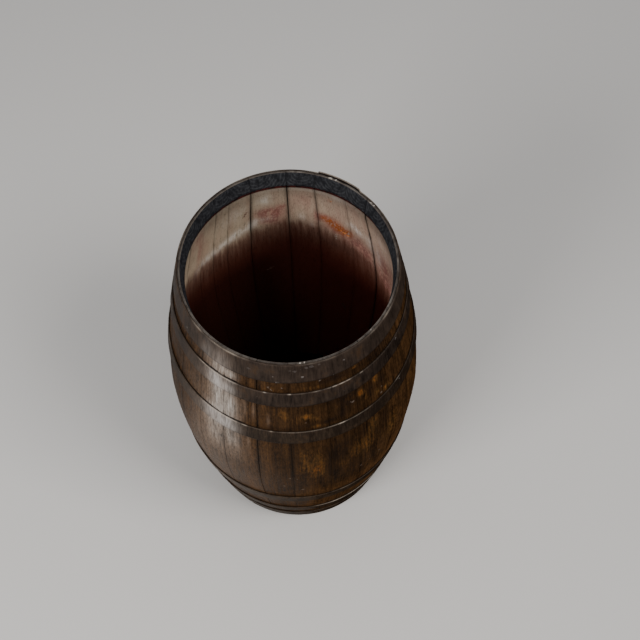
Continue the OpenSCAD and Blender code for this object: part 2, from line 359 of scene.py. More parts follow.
class Layer:
    """A value or a colour inside a finish. Values add and multiply like numbers."""

    def __init__(self, finish, socket):
        self.finish = finish
        self.socket = socket

    def __add__(self, other):
        return self.finish.count("ADD", self, other)

    __radd__ = __add__

    def __sub__(self, number):
        return self + -number

    def __mul__(self, other):
        return self.finish.count("MULTIPLY", self, other)

    def held(self):
        """The same sum, kept between 0 and 1."""
        self.socket.node.use_clamp = True
        return self

    def ease(self, low, high, start=0.0, end=1.0):
        inputs = {"Value": self, "From Min": low, "From Max": high, "To Min": start, "To Max": end}
        return self.finish.put("ShaderNodeMapRange", inputs, 0, interpolation_type="SMOOTHSTEP")

    def scaled(self, amount):
        return self.finish.put("ShaderNodeVectorMath", {0: self, "Scale": amount}, 0, operation="SCALE")

    def laid(self, amount, colour):
        """This colour with another one laid over it, by an amount."""
        return self.finish.blend(amount, self, colour)


class Finish:
    """One finish of the cask. Its noises run along the grain that the meshes carry."""

    def __init__(self, name, grain="grain", along=2):
        self.material = bpy.data.materials.new(name)
        self.material.use_nodes = True
        self.nodes = self.material.node_tree.nodes
        self.links = self.material.node_tree.links
        self.grain = grain
        self.along = along
        self.place = None

    def feed(self, socket, value):
        if isinstance(value, Layer):
            self.links.new(value.socket, socket)
        else:
            socket.default_value = value

    def put(self, kind, inputs, output, **settings):
        """A node with its inputs fed, as the layer that one of its outputs gives."""
        node = self.nodes.new(kind)
        for key, value in settings.items():
            setattr(node, key, value)
        for key, value in inputs.items():
            self.feed(node.inputs[key], value)
        return Layer(self, node.outputs[output])

    def count(self, operation, first, second):
        return self.put("ShaderNodeMath", {0: first, 1: second}, 0, operation=operation)

    def move(self, operation, first, second, output=0):
        return self.put("ShaderNodeVectorMath", {0: first, 1: second}, output, operation=operation)

    def object_place(self):
        return self.put("ShaderNodeTexCoord", {}, "Object")

    def apart(self, vector):
        """The three values of a vector."""
        first = self.put("ShaderNodeSeparateXYZ", {0: vector}, 0)
        return [Layer(self, socket) for socket in first.socket.node.outputs]

    def carried(self, name):
        return self.put("ShaderNodeAttribute", {}, "Vector", attribute_name=name)

    def painted(self, name):
        """The three values that a piece's mesh carries under a name."""
        return self.apart(self.carried(name))

    def cloud(self, vector, scale, detail, roughness):
        inputs = {"Vector": vector, "Scale": scale, "Detail": detail, "Roughness": roughness}
        return self.put("ShaderNodeTexNoise", inputs, 0)

    def fibre(self, stretch, scale, detail, roughness):
        """Noise drawn out along the grain: the smaller the stretch, the longer its streaks."""
        ways = [1, 1, 1]
        ways[self.along] = stretch
        return self.cloud(self.move("MULTIPLY", self.carried(self.grain), ways), scale, detail, roughness)

    def wave(self, kind, vector, scale, distortion, detail, detail_scale):
        inputs = {
            "Vector": vector, "Scale": scale, "Distortion": distortion,
            "Detail": detail, "Detail Scale": detail_scale,
        }
        return self.put("ShaderNodeTexWave", inputs, 1, wave_type=kind, rings_direction="Z")

    def spots(self, places, radius_at):
        """Small spots on the wall: 1 at their hearts and 0 past their ragged edges."""
        if self.place is None:
            place = self.object_place()
            ragged = self.put("ShaderNodeTexNoise", {"Vector": place, "Scale": 420.0, "Detail": 2.0}, 1)
            shift = self.move("ADD", ragged, (-0.5, -0.5, -0.5))
            self.place = self.move("ADD", place, self.move("MULTIPLY", shift, (6 * mm, 6 * mm, 6 * mm)))
        total = 0.0
        for direction, height, size in places:
            turn = math.radians(direction)
            radius = radius_at(height)
            heart = (radius * math.cos(turn) * mm, radius * math.sin(turn) * mm, height * mm)
            away = self.move("DISTANCE", self.place, heart, "Value")
            total = (total + away.ease(0.45 * size * mm, size * mm, 1.0, 0.0)).held()
        return total

    def blend(self, amount, below, above):
        """One colour laid over another, by an amount."""
        colours = [c if isinstance(c, Layer) else (*c, 1.0) for c in (below, above)]
        inputs = {0: amount, 6: colours[0], 7: colours[1]}
        return self.put("ShaderNodeMix", inputs, 2, data_type="RGBA")

    def done(self, colour, specular, roughness, height, depth_mm, strength=1.0):
        inputs = self.nodes["Principled BSDF"].inputs
        self.feed(inputs["Base Color"], colour)
        self.feed(inputs["Specular IOR Level"], specular)
        self.feed(inputs["Roughness"], roughness)
        bump = {"Strength": strength, "Distance": depth_mm * mm, "Height": height}
        self.feed(inputs["Normal"], self.put("ShaderNodeBump", bump, 0))
        return self.material


def carry(mesh, name, *three):
    """Stores three values for each vertex, for a finish to read."""
    values = np.stack([np.ravel(value) for value in np.broadcast_arrays(*three)], axis=-1)
    layer = mesh.attributes.new(name, "FLOAT_VECTOR", "POINT")
    layer.data.foreach_set("vector", np.ascontiguousarray(values, dtype=np.float32).ravel())


def ring_quads(rings, round_count):
    """Corners of the faces between neighbouring rings: here, one up, one up and round, one round."""
    for ring in range(0, (rings - 1) * round_count, round_count):
        for here in range(round_count):
            after = (here + 1) % round_count
            yield ring + here, ring + round_count + here, ring + round_count + after, ring + after


def skin(name, points, faces, finish, flat=0):
    """A closed mesh with a finish, smooth but for its last few faces."""
    mesh = bpy.data.meshes.new(name)
    mesh.from_pydata(points.tolist(), [], faces)
    mesh.polygons.foreach_set("use_smooth", [True] * (len(faces) - flat) + [False] * flat)
    mesh.materials.append(finish)
    return mesh


def cask_oak():
    """Oak: dark stain outside with a painted sheen, slate chime, worn end grain, wine stain and painted
    shade inside.
    """
    oak = Finish("cask_oak")
    inside, chime, land = oak.painted("zone")
    amber, painted_sheen, grime = oak.painted("paint")
    washed_and_sheen, wine, orange = oak.painted("stain")
    dark, croze, tone = oak.painted("depth")
    rub, howel, soot = oak.painted("rub")
    satin, outside_light_gain, wall_light_gain = oak.painted("drift")
    glare, deep_light_gain, pink = oak.painted("glare")
    hair = oak.fibre(0.03, 1500, 3, 0.6)
    streak = oak.fibre(0.05, 330, 5, 0.65)
    runs = oak.fibre(0.07, 170, 4, 0.6)
    broad = oak.fibre(0.12, 70, 4, 0.6)
    blotch = oak.fibre(0.5, 38, 5, 0.62)
    cloudy = oak.fibre(0.7, 120, 5, 0.68)
    mottle = oak.fibre(0.3, 380, 4, 0.65)
    pores = oak.fibre(0.06, 2300, 2, 0.5).ease(0.6, 0.7)
    cracks = oak.fibre(0.1, 520, 3, 0.6).ease(0.6, 0.68)
    drawn_out = oak.move("MULTIPLY", oak.carried("grain"), (1, 1, 0.035))
    figure = oak.wave("BANDS", drawn_out, 75.0, 9.0, 3.0, 1.4)
    rings = oak.wave("RINGS", oak.carried("ring"), 72.0, 2.8, 2.0, 1.6)

    # Outside: the dark stain, then amber and soot, then painted sheen and a painted highlight over it
    light = tone + (broad - 0.5) * 1.3 + (streak - 0.5) * 1.2 + (cloudy - 0.5) * 0.9
    light = (light + (mottle - 0.5) * 0.8 + (figure - 0.5) * 0.14 + (hair - 0.5) * 0.4).held()
    outside = oak.blend(light, (0.007, 0.0037, 0.002), (0.059, 0.028, 0.0105))
    amber_light = oak.blend(amber.ease(0.55, 0.95), (0.118, 0.051, 0.013), (0.225, 0.069, 0.011))
    mixed = streak * 0.5 + mottle * 0.5
    amber_tone = oak.blend(mixed.ease(0.38, 0.64), (0.04, 0.024, 0.0095), amber_light)
    worn = blotch * 0.35 + streak * 0.35 + mottle * 0.3
    amber_amount = (amber + (worn - 0.5) * 2.0).ease(0.25, 0.85) * amber.ease(0.0, 0.2)
    outside = outside.laid(amber_amount * 0.95, amber_tone)
    patchy = cloudy * 0.5 + mottle * 0.5
    outside = outside.laid(soot * patchy.ease(0.38, 0.54) * 0.85, (0.0065, 0.0048, 0.0044))
    # Painted light and shade: the outside made lighter or darker by direction and towards the foot
    outside = outside.scaled(outside_light_gain)
    fibres = streak * 0.45 + hair * 0.2 + mottle * 0.35
    # Painted sheen: a silvery highlight laid into the colour on the side that faced the light
    painted_sheen_amount = painted_sheen * fibres.ease(0.36, 0.6, 0.3, 1.0)
    outside = outside.laid(painted_sheen_amount * 0.95, (0.272, 0.192, 0.138))
    # Painted highlight, nearly white, at the heart of the painted sheen
    glare_amount = glare * (streak * 0.6 + hair * 0.4).ease(0.42, 0.58, 0.35, 1.0)
    outside = outside.laid(glare_amount * 0.9, (0.44, 0.402, 0.362))
    outside = outside.laid(cracks * 0.65 * painted_sheen.ease(0.1, 0.5), (0.035, 0.028, 0.023))
    spot_amount = soot * painted_sheen.ease(0.15, 0.5) * mottle.ease(0.42, 0.54)
    outside = outside.laid(spot_amount * 0.85, (0.03, 0.025, 0.023))
    outside = outside.laid(oak.spots(pale_specks, outer_radius) * 0.42, (0.22, 0.18, 0.15))

    # Painted shade along the top edge of each hoop but the rim's own, in the crease against the wood
    up = oak.apart(oak.object_place())[2]
    hoop_edge_shade = 0.0
    for low, high in hoop_heights[1:]:
        away = oak.count("ABSOLUTE", up - (high + 0.4) * mm, 0.0)
        hoop_edge_shade = hoop_edge_shade + away.ease(0.7 * mm, 2.2 * mm, 1.0, 0.0)
    hoop_edge_shade = hoop_edge_shade * painted_sheen.ease(0.0, 0.2, 0.25, 1.0) * cloudy.ease(0.36, 0.56, 0.5, 1.0)
    outside = outside.laid(hoop_edge_shade, (0.006, 0.0045, 0.0035))

    # Inside: washed wood with its stains and painted highlight, sinking to dark in ragged runs that are
    # partly wine stain and partly painted shade
    wall = oak.blend(streak, (0.24, 0.17, 0.12), (0.55, 0.44, 0.335))
    wall = wall.laid(broad.ease(0.42, 0.68, 0.0, 0.5), (0.3, 0.165, 0.125))
    wall = wall.laid(mottle.ease(0.55, 0.72, 0.0, 0.4), (0.15, 0.105, 0.08))
    # Washed wood and a painted highlight, pale
    wall = wall.laid(washed_and_sheen * (runs * 0.6 + cloudy * 0.4).ease(0.38, 0.56), (0.7, 0.65, 0.6))
    wall = wall.laid(0.32, oak.blend(pink, (0.4, 0.345, 0.235), (0.42, 0.275, 0.225)))
    wall = wall.laid(wine * streak.ease(0.3, 0.6, 0.3, 0.7), (0.36, 0.155, 0.125))
    wine_amount = wine * (mottle * 0.4 + cloudy * 0.6).ease(0.4, 0.56)
    wall = wall.laid(wine_amount * 0.7, (0.17, 0.055, 0.05))
    wall = wall.laid(orange * patchy.ease(0.36, 0.53), (0.34, 0.088, 0.022))
    wall = wall.laid(oak.spots(bright_orange, inner_radius) * 0.9, (0.78, 0.29, 0.075))
    # Painted light: the inside wall made lighter or darker by direction and height
    wall = wall.laid(howel * 0.35, (0.6, 0.53, 0.45)).scaled(wall_light_gain)
    ragged = (runs * 0.65 + streak * 0.35 - 0.5) * 1.5
    sunk = (dark + ragged * (dark * (dark * -1.0 + 1.0) * 4.0)).held()
    wall = wall.laid(sunk.ease(0.0, 0.6, 0.0, 0.75), (0.2, 0.088, 0.062))
    # Painted light keeps the deep wall paler on the lit side
    wall = wall.laid(sunk, (0.05, 0.0135, 0.0085)).scaled(deep_light_gain)
    for places, amount, shade in wall_marks:
        wall = wall.laid(oak.spots(places, inner_radius) * amount, shade)

    # Chime, end grain, croze and joints
    slate = oak.blend(streak.ease(0.3, 0.7), (0.0135, 0.014, 0.0165), (0.034, 0.034, 0.038))
    slate = slate.laid(rings.ease(0.45, 1.0) * cloudy.ease(0.36, 0.6, 0.0, 0.5), (0.06, 0.062, 0.066))
    slate = slate.laid(cloudy.ease(0.36, 0.52, 1.0, 0.0) * 0.6, (0.009, 0.009, 0.0105))
    end_grain = oak.blend(cloudy.ease(0.3, 0.7), (0.021, 0.0175, 0.0155), (0.05, 0.042, 0.037))
    groove = oak.blend(cloudy.ease(0.4, 0.56), (0.011, 0.0055, 0.005), (0.046, 0.0085, 0.0075))
    colour = outside.laid(inside, wall).laid(chime, slate).laid(land, end_grain)
    colour = colour.laid(rub * cloudy.ease(0.36, 0.6, 0.2, 0.85), (0.135, 0.118, 0.104))
    chips = oak.spots(rim_chips, lambda height: end_radius - 1.2)
    holes = oak.spots(rim_holes, lambda height: end_radius - 1.0)
    colour = colour.laid(land * chips, (0.3, 0.27, 0.24)).laid(land * holes, (0.004, 0.003, 0.003))
    colour = colour.laid(croze, groove).laid(pores * 0.5, (0.005, 0.0035, 0.003))
    colour = colour.laid(grime, (0.0035, 0.0026, 0.002))

    specular = satin * 0.02 + painted_sheen_amount * 0.12
    roughness = streak.ease(0.2, 0.8, 0.36, 0.54) + inside * 0.16
    height = hair * 0.5 + (streak + pores * -0.9)
    return oak.done(colour, specular, roughness, height, 0.4, land.ease(0.0, 1.0, 1.0, 0.15))


oak_finish = cask_oak()


def half_profile():
    """The inside of a stave from one end to the bilge: heights and radii, croze and howel included."""
    croze_top = chime_height + croze_width
    croze_bottom_radius = inner_radius(chime_height + croze_width / 2) + croze_depth
    chime_inner = inner_radius(chime_height)
    heights = [0.0]
    radii = [end_radius - rim_land + 0.6]
    for t in (0.018, 0.05) + tuple(np.linspace(0.13, 0.985, 8)):
        heights.append(chime_height * t)
        radii.append(end_radius - rim_land + (chime_inner - end_radius + rim_land) * t)
    groove = ((0, 0.12), (0.15, 0.9), (0.6, 1), (croze_width / 2, 1), (croze_width - 0.6, 1))
    for up, out in groove + ((croze_width - 0.15, 0.9),):
        heights.append(chime_height + up)
        radii.append(chime_inner + (croze_bottom_radius - chime_inner) * out)
    for t in (0.0, 0.12, 0.3, 0.55, 0.8, 1.0):
        z = croze_top + howel_height * t
        heights.append(z)
        radii.append(inner_radius(z) + howel_depth * (1 - t) ** 1.4)
    wall = np.linspace(croze_top + howel_height, cask_height / 2, 58)[1:]
    return np.array(heights + list(wall)), np.array(radii + list(inner_radius(wall)))


low_z, low_r = half_profile()
inner_z = np.concatenate([low_z, cask_height - low_z[-2::-1]])
inner_r = np.concatenate([low_r, low_r[-2::-1]])
rows = len(inner_z)
outer_z = np.linspace(0, cask_height, rows - 2)[1:-1]
outer_z = np.concatenate([[0.0, 0.7], outer_z, [cask_height - 0.7, cask_height]])
# Points across each face of a stave, points across each joint face, and points round its section
columns = 19
sides = 3
loop = 2 * (columns + sides)
cap_points = 2 * sides * (columns - 2)
between = np.linspace(0, 1, sides + 2)[1:-1]


def across(width, ease):
    """Distances across a stave's face, closer together at its two arrises."""
    near = np.array([0.0, 0.3, 0.65, 1.0])
    left = np.broadcast_to(near * ease[0], (rows, 4))
    right = np.broadcast_to(near[::-1] * ease[1], (rows, 4))
    middle = np.linspace(0, 1, columns - 6)[1:-1]
    return np.concatenate([left, ease[0] + (width - ease[0] - ease[1]) * middle, width - right], axis=1)


def worn_face(radius, start, end, ease, flatness, inward):
    """One face of a stave, planed a little flat, with worn arrises: distances, directions, radii."""
    middle = (start + end) / 2
    width = radius[:, None] * (end - start)
    away = across(width, ease)
    angle = start + away / radius[:, None]
    face = radius[:, None] * (1 - flatness * (1 - math.cos((end - start) / 2) / np.cos(angle - middle)))
    for distance, e in ((away, ease[0]), (width - away, ease[1])):
        face = face + inward * arris_depth * e * np.clip(1 - distance / e, 0, 1) ** 2
    return away, angle, face


def ring_of(outer, inner):
    """Values round the stave's section: outside, right joint face, inside, left joint face."""
    right = outer[:, -1:] + (inner[:, -1:] - outer[:, -1:]) * between
    left = inner[:, :1] + (outer[:, :1] - inner[:, :1]) * between
    return np.concatenate([outer, right, inner[:, ::-1], left], axis=1)


def cap_of(outer, inner, row):
    """Values over the end grain, between the two faces of an end."""
    return (outer[row] + (inner[row] - outer[row]) * between[:, None])[:, 1:-1]


def on_rings(values):
    """Values of the rings of points, followed by nothing for the points on the end grain."""
    return np.concatenate([np.broadcast_to(values, (rows, loop)).ravel(), np.zeros(cap_points)])


def stave_faces():
    """The faces of any stave: the rings between its ends, then the end grain."""
    faces = [(here, beside, over, up) for here, up, over, beside in ring_quads(rows, loop)]
    cap_numbers = rows * loop + np.arange(cap_points).reshape(2, sides, columns - 2)
    for end, row in enumerate((0, rows - 1)):
        ring = row * loop + np.arange(loop)
        grid = np.zeros((sides + 2, columns), dtype=int)
        grid[0] = ring[:columns]
        grid[-1] = ring[columns + sides:loop - sides][::-1]
        grid[1:-1, 0] = ring[loop - sides:][::-1]
        grid[1:-1, -1] = ring[columns:columns + sides]
        grid[1:-1, 1:-1] = cap_numbers[end]
        corners = (grid[:-1, :-1], grid[:-1, 1:], grid[1:, 1:], grid[1:, :-1])
        quads = np.stack(corners, axis=-1).reshape(-1, 4).tolist()
        faces += quads if end else [quad[::-1] for quad in quads]
    return faces


faces_of_stave = stave_faces()


def make_stave(i):
    """One stave, as a closed mesh, with its grain, wear, stains and painted light stored at each vertex."""
    name = "stave_%02d" % (i + 1)
    luck = np.random.default_rng(700 + i)
    after = (i + 1) % stave_count
    shade = (joint_dark[i], joint_dark[after])
    gap = math.degrees(joint_gap / 2 / bilge_radius)
    start = math.radians(joint_direction(i) + gap)
    end = math.radians(joint_direction(i + 1) - gap)
    middle = (start + end) / 2

    pressed = [smooth_step(outer_z, a - 5, a) * smooth_step(-outer_z, -b - 5, -b) for a, b in hoop_heights]
    free = 1 - hoop_press * np.max(pressed, axis=0)[:, None]
    ease = (joint_ease[i], joint_ease[after])
    out_d, out_a, out_r = worn_face(outer_radius(outer_z), start, end, ease, outer_flatness * free, -1)
    out_z = np.repeat(outer_z[:, None], columns, axis=1)
    for deep, wide, tall, shift, seed in outer_waves:
        out_r = out_r - deep * free * (0.5 + 0.5 * soft_noise(out_d / wide, out_z / tall, i * shift, seed))

    soft = (0.25 + 0.85 * shade[0] ** 2, 0.25 + 0.85 * shade[1] ** 2)
    wall = smooth_step(np.minimum(inner_z, cask_height - inner_z), *smooth_end)[:, None]
    in_d, in_a, in_r = worn_face(inner_r, start, end, soft, inner_flatness * wall, 1)
    in_z = np.repeat(inner_z[:, None], columns, axis=1)
    in_r = in_r + wall * 0.35 * soft_noise(in_d / 14, in_z / 30, i * 5.7, 3)
    in_r = in_r + (0.25 + 0.75 * wall) * 0.14 * soft_noise(in_d / 3.0, in_z / 50, i * 2.9, 4)

    # Ends: each stave falls a little short, and both edges of the land are worn and chipped
    short = [float(luck.uniform(0, most)) for most in short_ends]
    for row, near, sign, lost in ((0, 1, 1, short[0]), (rows - 1, rows - 2, -1, short[1])):
        for angle, radius, height, inward in ((out_a, out_r, out_z, -1), (in_a, in_r, in_z, 1)):
            place = np.degrees(angle[row])
            n = soft_noise(place / 1.8, row * 1.0, inward * 9.0, 5)
            more = np.exp(-(((place - chipped_rim[0]) / chipped_rim[1]) ** 2)) * (inward < 0) * (row > 0)
            chip = 0.25 + np.clip(n - 0.25, 0, 1) * 0.9 * (1 + chipped_rim[2] * more)
            radius[row] += inward * chip * 0.8
            height[near] += sign * (lost + chip * 0.8)
            height[row] += sign * (lost + 0.12 * (1 + n))

    pairs = ((out_r, in_r), (out_a, in_a), (out_z, in_z))
    caps = [[cap_of(outer, inner, row) for outer, inner in pairs] for row in (0, rows - 1)]
    for cap, sign in zip(caps, (1, -1)):
        cap[2] += sign * (0.05 + 0.07 * np.abs(soft_noise(np.degrees(cap[1]) / 0.8, cap[0] / 2, sign, 6)))
    radius, angle, height = (
        np.concatenate([ring_of(outer, inner).ravel()] + [cap[k].ravel() for cap in caps])
        for k, (outer, inner) in enumerate(pairs)
    )
    height = np.clip(height, 0, cask_height)
    points = np.stack([radius * np.cos(angle), radius * np.sin(angle), height], axis=-1) * mm
    mesh = skin(name, points, faces_of_stave, oak_finish)

    # Where each point lies: outside, inside, end grain, land, chime, croze or joint face
    round_place = np.arange(loop)
    out_mask = on_rings(round_place < columns)
    in_mask = on_rings((round_place >= columns + sides) & (round_place < loop - sides))
    cap_mask = 1 - on_rings(1)
    end_rows = np.zeros((rows, 1))
    end_rows[[0, 1, -2, -1], 0] = (1, 0.6, 0.6, 1)
    land = np.clip(on_rings(end_rows) + cap_mask, 0, 1)
    from_end = np.minimum(height, cask_height - height)
    chime = in_mask * (from_end < chime_height + 0.3) * (1 - land)
    croze = in_mask * (from_end > chime_height - 0.2) * (from_end < chime_height + croze_width + 1.8)
    inside = in_mask + cap_mask
    side_mask = 1 - out_mask - inside
    at = half_turn(np.degrees(angle))

    # How far the inside has sunk to dark: partly wine stain, partly painted shade
    edge = np.interp(at, dark_directions, dark_heights)
    sink = np.clip((edge + 50 - height) / 50, 0, None)
    dark = 1 - np.exp(-1.35 * sink ** 1.6)
    grime = 0
    for away, how_dark, joint in (((angle - start), shade[0], i), ((end - angle), shade[1], after)):
        away = np.clip(away * radius, 0, None)
        # Outside, dust fills the joints below the bilge, and the dusty ones above it too
        filled = 0.55 * smooth_step(-height, -310, -235)
        filled = filled + (joint in dusty_joints) * 0.6 * smooth_step(height, 425, 440)
        how_dark = how_dark * (1 - out_mask * filled)
        n = (0.5 - 0.3 * how_dark) * soft_noise(height / 45, joint, 3.0, 11)
        line = np.exp(-(away / (0.43 + 0.6 * how_dark)) ** 2) * (0.55 + 0.45 * how_dark + n)
        grime = grime + how_dark * line + 0.3 * how_dark * np.exp(-away / 2.2)
    # The joints fade in the dark, and least on the clear staves
    faded = 1 - (0.25 if i in clear_staves else 0.6) * in_mask * dark
    grime = np.clip(grime * (out_mask + in_mask) * faded + 0.9 * side_mask, 0, 1)
    grime = grime * (1 - 0.6 * land) * (1 - 0.85 * chime)

    # Painted light and shade, as gains on the wood's colour
    front = smooth_step(-at, -60, -10)
    behind = np.maximum(smooth_step(at, 138, 156), smooth_step(-at, 150, 176))
    outside_light_gain = np.interp(at, outside_light_directions, outside_light_by_direction)
    outside_light_gain *= 1 + 0.5 * smooth_step(-height, -340, -280) * smooth_step(at, -62, -46) * front
    outside_light_gain *= 1 + 0.8 * smooth_step(-height, -240, -190) * smooth_step(at, -100, -80) * front
    wall_light_gain = np.interp(at, wall_directions, wall_light_by_direction) * np.interp(height, wall_heights, wall_light_by_height)
    wall_light_gain *= 1 + 0.35 * behind * smooth_step(height, 490, 530)
    lit = smooth_step(-at, -108, -68) * smooth_step(at, -180, -140)
    lit *= 0.3 + 0.7 * smooth_step(at, -40, 10)
    far_side = (1 - lit) * (1 - 0.4 * behind * smooth_step(-height, -400, -340))
    deep_light_gain = np.interp(height, deep_heights, deep_lit) * lit
    deep_light_gain += np.interp(height, deep_heights, deep_far) * far_side
    pink = (1 - smooth_step(at, 50, 120)) * smooth_step(at, -180, -120)
    rub = on_rings(end_rows > 0) * (0.6 * out_mask + in_mask) + 0.5 * cap_mask
    n = soft_noise(np.degrees(angle) / 5, 2.0, out_mask * 4, 12)
    rub = rub * np.clip(0.15 + 0.4 * n + spots(bright_rim_places, at, height), 0.05, 1)
    howel_end = chime_height + croze_width + howel_height
    howel = in_mask * (1 - smooth_step(from_end, howel_end - 7, howel_end))
    howel = howel * (0.2 + 0.8 * np.exp(-(((at - 80) / 24) ** 2)))

    def spotted(*lists):
        return [spots(places, at, height) for places in lists]

    carry(mesh, "zone", inside, chime, land)
    carry(mesh, "paint", *spotted(amber_places, painted_sheen_places + wood_sheen_places), grime)
    carry(mesh, "stain", *spotted(washed_and_sheen_places, wine_places, orange_places))
    carry(mesh, "depth", dark, croze, stave_tone[i])
    carry(mesh, "rub", rub, howel, *spotted(soot_places))
    carry(mesh, "drift", sheen(at, height) * (1 - 0.5 * inside), outside_light_gain, wall_light_gain)
    carry(mesh, "glare", *spotted(glare_places), deep_light_gain, pink)
    offset = luck.uniform(0, 9, 2)
    sideways = (angle - middle) * radius
    depth = outer_radius(height) - radius
    carry(mesh, "grain", sideways * mm + offset[0], depth * mm, height * mm + offset[1])
    pith = stave_pith.get(i, luck.uniform(-9, 9))
    ring_y = np.where(cap_mask + land > 0, depth * 1.2, from_end * 0.75)
    carry(mesh, "ring", (sideways + pith) * mm, (ring_y + 3) * mm, 0)

    piece = in_scene(name + "_oak", mesh)
    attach(piece, "root")
    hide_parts(name)


for i in range(stave_count):
    make_stave(i)

# Head. The lower head is the floor of the bin: five oak boards, dowelled edge to edge, cut round and
# bevelled into the croze. Wine has turned the inner face nearly black.
board_widths = (55, 49, 62, 50, 55)
board_tones = (-0.45, -0.3, -0.38, -0.5, -0.34)
head_thickness = 15.0
head_fit = 0.3
head_bevel = 16.0
board_gap = 0.2
croze_middle = chime_height + croze_width / 2
head_radius = inner_radius(croze_middle) + croze_depth - head_fit
head_edge_thickness = croze_width - head_fit
head_edge_width = croze_depth + head_fit
# Points along each board
long_n = 71


def head_oak():
    wood = Finish("head_oak", along=1)
    streak = wood.fibre(0.05, 300, 5, 0.65)
    blotch = wood.fibre(0.6, 34, 4, 0.6)
    top, seam, tone = wood.painted("board")
    light = (streak * 0.7 + (blotch * 0.6 + tone)).held()
    under = wood.blend(light, (0.03, 0.019, 0.012), (0.12, 0.075, 0.045))
    colour = under.laid(top, wood.blend(light, (0.008, 0.003, 0.003), (0.06, 0.017, 0.014)))
    colour = colour.laid(seam, (0.004, 0.002, 0.002))
    return wood.done(colour, 0.05, streak.ease(0.2, 0.8, 0.5, 0.72), streak, 0.5)


head_finish = head_oak()


def head_half_thickness(r):
    """Half the head's thickness, which falls in the bevel and stays even in the croze."""
    inner = head_radius - head_edge_width - head_bevel
    outer = head_radius - head_edge_width
    return np.interp(r, (inner, outer), (head_thickness / 2, head_edge_thickness / 2))


def make_board(i):
    name = "head_board_%d" % (i + 1)
    total = sum(board_widths)
    left = -head_radius + 2 * head_radius * sum(board_widths[:i]) / total
    right = left + 2 * head_radius * board_widths[i] / total
    left += board_gap / 2 if i else 0.05
    right -= board_gap / 2 if i < len(board_widths) - 1 else 0.05
    width = right - left
    middle = np.linspace(2.4, width - 2.4, 14)
    steps = np.concatenate([[0, 0.4, 1.0], middle, [width - 1.0, width - 0.4, width]])
    x = np.repeat((left + steps)[:, None], long_n, axis=1)
    long_way = np.sin(np.linspace(-math.pi / 2, math.pi / 2, long_n))[None, :]
    y = np.sqrt(np.clip(head_radius ** 2 - x ** 2, 0, None)) * long_way
    r = np.hypot(x, y)
    arris = np.clip(1 - np.minimum(steps, width - steps) / 1.0, 0, 1)[:, None]
    n = soft_noise(x / 9, y / 70, i * 4.0, 7)
    half = head_half_thickness(r)
    half = half - 0.6 * arris ** 2 * (r < head_radius - 4) - 0.12 * (1 + n) * (r < head_radius - 6)
    upper = np.stack([x, y, croze_middle + half], axis=-1)
    under = np.stack([x, y, croze_middle - half], axis=-1)
    points = np.concatenate([upper.reshape(-1, 3), under.reshape(-1, 3)]) * mm
    across_n = len(steps)
    bottom = across_n * long_n
    faces = []
    for a in range(across_n - 1):
        for p in range(a * long_n, (a + 1) * long_n - 1):
            quad = (p, p + long_n, p + long_n + 1, p + 1)
            faces.append(quad)
            faces.append(tuple(v + bottom for v in quad[::-1]))
    rim = [a * long_n for a in range(across_n)]
    rim += [(across_n - 1) * long_n + b for b in range(1, long_n)]
    rim += [a * long_n + long_n - 1 for a in range(across_n - 2, -1, -1)]
    rim += list(range(long_n - 2, 0, -1))
    for p, q in zip(rim, rim[1:] + rim[:1]):
        faces.append((p, p + bottom, q + bottom, q))
    mesh = skin(name, points, faces, head_finish)
    top = np.repeat((1, 0), bottom)
    seam = np.tile(np.repeat(arris, long_n, axis=1).ravel(), 2)
    carry(mesh, "board", top, seam, board_tones[i])
    carry(mesh, "grain", points[:, 0] + i * 1.7, points[:, 1] + i * 0.9, points[:, 2])
    piece = in_scene(name + "_oak", mesh)
    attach(piece, "root")
    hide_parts(name)


for i in range(len(board_widths)):
    make_board(i)


def dowel_wood():
    """The dowels are hidden in the boards and keep their plain turned shape."""
    wood = Finish("dowel_wood")
    fibre = wood.cloud(wood.move("MULTIPLY", wood.object_place(), (0.06, 1, 1)), 900, 4, 0.6)
    return wood.done(wood.blend(fibre, (0.2, 0.11, 0.055), (0.42, 0.27, 0.15)), 0.3, 0.7, fibre, 0.2)


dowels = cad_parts["head_dowels"]
dowels.data.materials.clear()
dowels.data.materials.append(dowel_wood())

# Hoops. Six strips of iron, each bent round the cask, its outer end stepped up over the inner end and
# riveted. They were stained along with the wood, and their edges have rubbed bright; the wood's painted
# sheen and highlight run over them, and painted shade darkens their lower edges and right side.
hoop_names = ("upper_chime", "upper_quarter", "upper_bilge", "lower_bilge", "lower_quarter", "lower_chime")
hoop_thickness = 2.0
hoop_fit = 0.15
lap_length = 58.0
lap_direction = 62.0
lap_fit = 0.1
step_length = 3 * hoop_thickness
# Points along each hoop, and how deep its dents and how ragged its edges are, in mm
hoop_points = 420
dent_depth = 0.22
edge_waver = 0.16
# For each hoop: its tone, how much painted shade darkens it on the right, and how brown it has turned
hoop_tones = (0.5, 0.42, 0.18, 0.28, 0.24, 0.24)
hoop_right_shade = (0.02, 0.16, 0.16, 0.16, 0.16, 0.16)
hoop_browns = (0.1, 0.15, 0.9, 1.0, 1.0, 1.0)
# Section of the strip: share of its width, share of its thickness, how rubbed that corner is, how much
# painted shade darkens it
section = (
    (0, 0.12, 0, 1), (0, 0.7, 0, 1), (0.012, 0.92, 0, 0.9), (0.035, 1, 0, 0.5), (0.1, 1, 0, 0),
    (0.22, 1, 0, 0), (0.36, 1, 0, 0), (0.5, 1, 0, 0), (0.64, 1, 0, 0), (0.78, 1, 0, 0), (0.92, 1, 0, 0),
    (0.965, 1, 0.2, 0), (0.988, 0.92, 1, 0), (1, 0.7, 0.7, 0), (1, 0.45, 0.15, 0.1), (1, 0.12, 0, 0.4),
    (0.985, -0.05, 0, 1), (0.5, -0.05, 0, 1), (0.015, -0.05, 0, 1),
)
